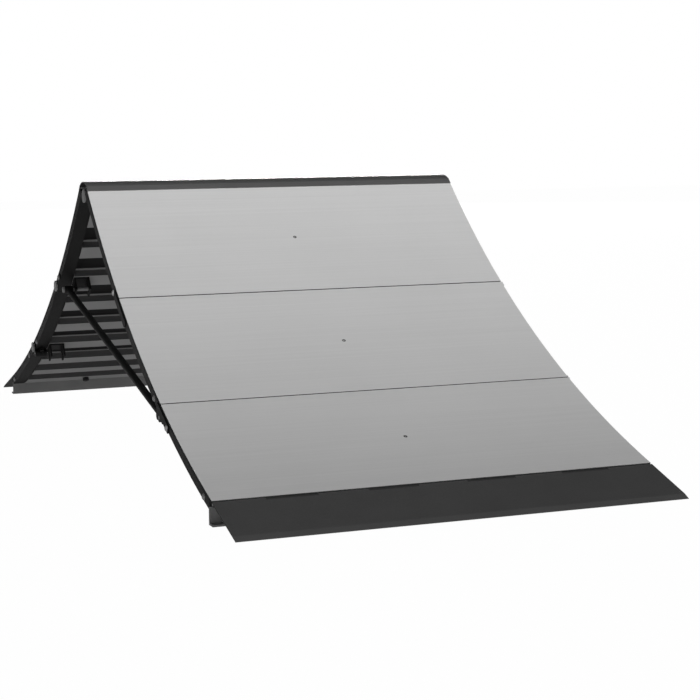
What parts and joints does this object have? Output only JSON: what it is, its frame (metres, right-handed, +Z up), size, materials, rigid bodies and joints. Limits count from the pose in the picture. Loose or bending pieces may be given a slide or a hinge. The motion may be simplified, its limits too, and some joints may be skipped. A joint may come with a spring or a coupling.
{
  "type": "folding skate spine ramp",
  "caption": "Portable skate spine ramp: two curved ramps of hinged panels back to back under a rounded coping, with toe flaps, side rails, ribs, clamp knobs and cross braces.",
  "frame": {"origin": "on the floor under the middle of the coping", "axes": "+Z up, X along the coping, the front ramp runs down towards -Y and the rear ramp towards +Y"},
  "size_m": [1.1852, 2.743, 0.7834],
  "materials": {
    "riding_board": "grey painted board with a fine grip texture",
    "coping_sheet": "satin grey sheet",
    "toe_sheet": "satin dark grey sheet",
    "rib_sheet": "plain zinc-coated sheet",
    "knob_zinc": "bright cast metal",
    "zinc_fastener": "zinc-plated steel",
    "black_frame": "satin black paint"
  },
  "bodies": {
    "spine": {"coping": "coping_sheet", "spine_tube": "black_frame", "spine_plugs": "zinc_fastener", "front_upper_skin": "riding_board", "front_upper_left_rail": "black_frame", "front_upper_right_rail": "black_frame", "front_upper_ribs": "rib_sheet", "front_upper_brackets": "black_frame", "front_upper_pivots": "zinc_fastener", "rear_upper_skin": "riding_board", "rear_upper_left_rail": "black_frame", "rear_upper_right_rail": "black_frame", "rear_upper_ribs": "rib_sheet", "rear_upper_brackets": "black_frame", "rear_upper_pivots": "zinc_fastener"},
    "front_middle": {"front_middle_skin": "riding_board", "front_middle_left_rail": "black_frame", "front_middle_right_rail": "black_frame", "front_middle_ribs": "rib_sheet", "front_middle_brackets": "black_frame", "front_hinge_arms": "black_frame", "front_middle_bolts": "zinc_fastener", "front_fold_pins": "zinc_fastener"},
    "front_lower": {"front_lower_skin": "riding_board", "front_lower_left_rail": "black_frame", "front_lower_right_rail": "black_frame", "front_lower_ribs": "rib_sheet", "front_tie_plates": "black_frame", "front_lower_bolts": "zinc_fastener", "front_foot": "rib_sheet", "front_toe_pin": "zinc_fastener"},
    "front_toe": {"front_toe_plate": "toe_sheet"},
    "front_upper_knob": {"front_upper_knob": "knob_zinc"},
    "front_lower_knob": {"front_lower_knob": "knob_zinc"},
    "rear_middle": {"rear_middle_skin": "riding_board", "rear_middle_left_rail": "black_frame", "rear_middle_right_rail": "black_frame", "rear_middle_ribs": "rib_sheet", "rear_middle_brackets": "black_frame", "rear_hinge_arms": "black_frame", "rear_middle_bolts": "zinc_fastener", "rear_fold_pins": "zinc_fastener"},
    "rear_lower": {"rear_lower_skin": "riding_board", "rear_lower_left_rail": "black_frame", "rear_lower_right_rail": "black_frame", "rear_lower_ribs": "rib_sheet", "rear_tie_plates": "black_frame", "rear_lower_bolts": "zinc_fastener", "rear_foot": "rib_sheet", "rear_toe_pin": "zinc_fastener"},
    "rear_toe": {"rear_toe_plate": "toe_sheet"},
    "rear_upper_knob": {"rear_upper_knob": "knob_zinc"},
    "rear_lower_knob": {"rear_lower_knob": "knob_zinc"},
    "left_brace": {"left_brace": "black_frame"},
    "right_brace": {"right_brace": "black_frame"}
  },
  "joints": [
    {"name": "front_upper_fold", "type": "hinge", "parent": "spine", "child": "front_middle", "pos_m": [0, -0.34623, 0.48031], "axis": [-1, 0, 0], "range_deg": [0, 125]},
    {"name": "front_lower_fold", "type": "hinge", "parent": "front_middle", "child": "front_lower", "pos_m": [0, -0.76954, 0.19245], "axis": [1, 0, 0], "range_deg": [0, 150]},
    {"name": "front_toe_hinge", "type": "hinge", "parent": "front_lower", "child": "front_toe", "pos_m": [0, -1.20741, 0.05254], "axis": [-1, 0, 0], "range_deg": [-60, 85]},
    {"name": "front_upper_knob_turn", "type": "hinge", "parent": "spine", "child": "front_upper_knob", "pos_m": [0.584, -0.38354, 0.44999], "axis": [1, 0, 0], "range_deg": [0, 180]},
    {"name": "front_lower_knob_turn", "type": "hinge", "parent": "front_middle", "child": "front_lower_knob", "pos_m": [0.584, -0.76951, 0.21463], "axis": [1, 0, 0], "range_deg": [0, 180]},
    {"name": "rear_upper_fold", "type": "hinge", "parent": "spine", "child": "rear_middle", "pos_m": [0, 0.34623, 0.48031], "axis": [1, 0, 0], "range_deg": [0, 125]},
    {"name": "rear_lower_fold", "type": "hinge", "parent": "rear_middle", "child": "rear_lower", "pos_m": [0, 0.76954, 0.19245], "axis": [-1, 0, 0], "range_deg": [0, 150]},
    {"name": "rear_toe_hinge", "type": "hinge", "parent": "rear_lower", "child": "rear_toe", "pos_m": [0, 1.20741, 0.05254], "axis": [1, 0, 0], "range_deg": [-60, 85]},
    {"name": "rear_upper_knob_turn", "type": "hinge", "parent": "spine", "child": "rear_upper_knob", "pos_m": [-0.584, 0.38354, 0.44999], "axis": [-1, 0, 0], "range_deg": [0, 180]},
    {"name": "rear_lower_knob_turn", "type": "hinge", "parent": "rear_middle", "child": "rear_lower_knob", "pos_m": [-0.584, 0.76951, 0.21463], "axis": [-1, 0, 0], "range_deg": [0, 180]},
    {"name": "right_brace_pivot", "type": "hinge", "parent": "spine", "child": "right_brace", "pos_m": [0.562, -0.32434, 0.44133], "axis": [-1, 0, 0], "range_deg": [0, 120]},
    {"name": "left_brace_pivot", "type": "hinge", "parent": "spine", "child": "left_brace", "pos_m": [-0.562, 0.32434, 0.44133], "axis": [1, 0, 0], "range_deg": [0, 120]}
  ]
}
